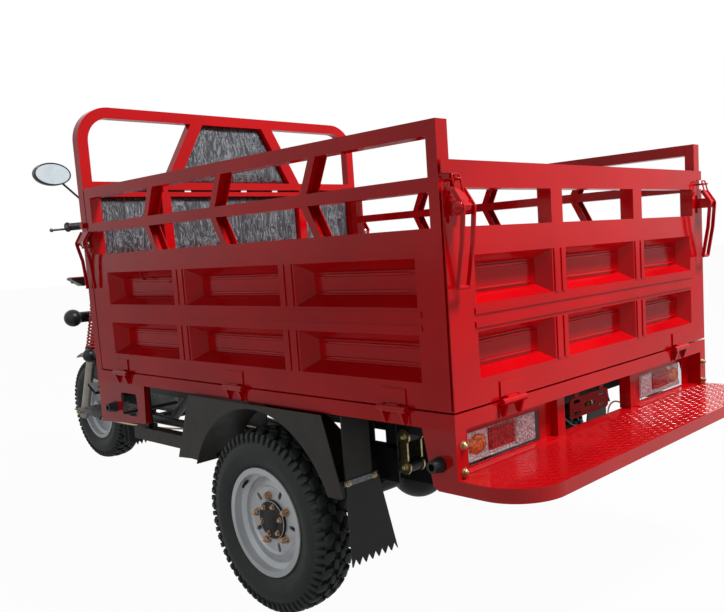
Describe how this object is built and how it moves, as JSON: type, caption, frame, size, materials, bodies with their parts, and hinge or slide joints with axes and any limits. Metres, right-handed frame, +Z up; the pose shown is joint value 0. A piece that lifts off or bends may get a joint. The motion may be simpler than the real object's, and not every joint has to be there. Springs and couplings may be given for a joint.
{
  "type": "cargo tricycle",
  "caption": "Motor tricycle with a motorcycle front end and a drop-sided steel load bed with raised racks, a tailgate and a rear step",
  "frame": {"origin": "on the ground, at the centre of the footprint's bounding box", "axes": "+Z up, -Y to the front of the vehicle, +X to its left side"},
  "size_m": [1.4508, 3.6439, 1.6638],
  "materials": {
    "red_enamel": "gloss",
    "black_paint": "satin",
    "guard_grey": "satin",
    "rubber": "matt",
    "vinyl": "satin",
    "tyre": "matt",
    "rim_silver": "gloss",
    "zinc": "satin",
    "lamp_plastic": "gloss",
    "engine_alloy": "satin",
    "bright_steel": "satin",
    "spring_red": "gloss",
    "black_plastic": "gloss"
  },
  "bodies": {
    "chassis": {"bulkhead_frame": "red_enamel", "bulkhead_panel": "red_enamel", "hinge_brackets": "red_enamel", "bed_frame": "red_enamel", "rear_step": "red_enamel", "lamp_panels": "red_enamel", "plate_bracket": "red_enamel", "skirt_plates": "red_enamel", "fuel_tank": "red_enamel", "chassis_frame": "black_paint", "leaf_springs": "black_paint", "rear_axle": "black_paint", "battery_box": "black_paint", "footboards": "black_paint", "mudguards": "guard_grey", "mud_flaps": "rubber", "rubber_buffers": "rubber", "backrest_pads": "vinyl", "rider_seat": "vinyl", "spring_shackles": "zinc", "tail_lamps": "lamp_plastic", "engine_block": "engine_alloy", "exhaust": "bright_steel"},
    "side_gate_left": {"side_panel_left": "red_enamel", "side_rack_left": "red_enamel"},
    "side_gate_right": {"side_panel_right": "red_enamel", "side_rack_right": "red_enamel"},
    "tailgate": {"tailgate_frame": "red_enamel"},
    "rear_wheel_left": {"rear_tyre_left": "tyre", "rear_rim_left": "rim_silver"},
    "rear_wheel_right": {"rear_tyre_right": "tyre", "rear_rim_right": "rim_silver"},
    "front_wheel": {"front_tyre": "tyre", "front_rim": "rim_silver"},
    "front_fork": {"fork_yokes": "black_paint", "fork_legs": "bright_steel", "fork_springs": "spring_red", "front_bumper": "rubber", "front_fender": "red_enamel", "headlight_cowl": "red_enamel", "front_indicators": "lamp_plastic", "handlebar": "bright_steel", "grips": "rubber", "hand_levers": "engine_alloy", "mirrors": "black_plastic"}
  },
  "joints": [
    {"name": "steering", "type": "hinge", "parent": "chassis", "child": "front_fork", "pos_m": [0, -1.16791, 0.96522], "axis": [0, 0.4226, 0.9063], "range_deg": [-40, 40]},
    {"name": "front_wheel_roll", "type": "hinge", "parent": "front_fork", "child": "front_wheel", "pos_m": [0, -1.538, 0.284], "axis": [1, 0, 0], "continuous": true},
    {"name": "rear_wheel_left_roll", "type": "hinge", "parent": "chassis", "child": "rear_wheel_left", "pos_m": [0.635, 0.846, 0.284], "axis": [1, 0, 0], "continuous": true},
    {"name": "rear_wheel_right_roll", "type": "hinge", "parent": "chassis", "child": "rear_wheel_right", "pos_m": [-0.635, 0.846, 0.284], "axis": [1, 0, 0], "continuous": true},
    {"name": "side_gate_left_drop", "type": "hinge", "parent": "chassis", "child": "side_gate_left", "pos_m": [0.697, 0.757, 0.69], "axis": [0, 1, 0], "range_deg": [0, 172]},
    {"name": "side_gate_right_drop", "type": "hinge", "parent": "chassis", "child": "side_gate_right", "pos_m": [-0.697, 0.757, 0.69], "axis": [0, -1, 0], "range_deg": [0, 172]},
    {"name": "tailgate_drop", "type": "hinge", "parent": "chassis", "child": "tailgate", "pos_m": [0, 1.629, 0.69], "axis": [-1, 0, 0], "range_deg": [0, 127]}
  ]
}
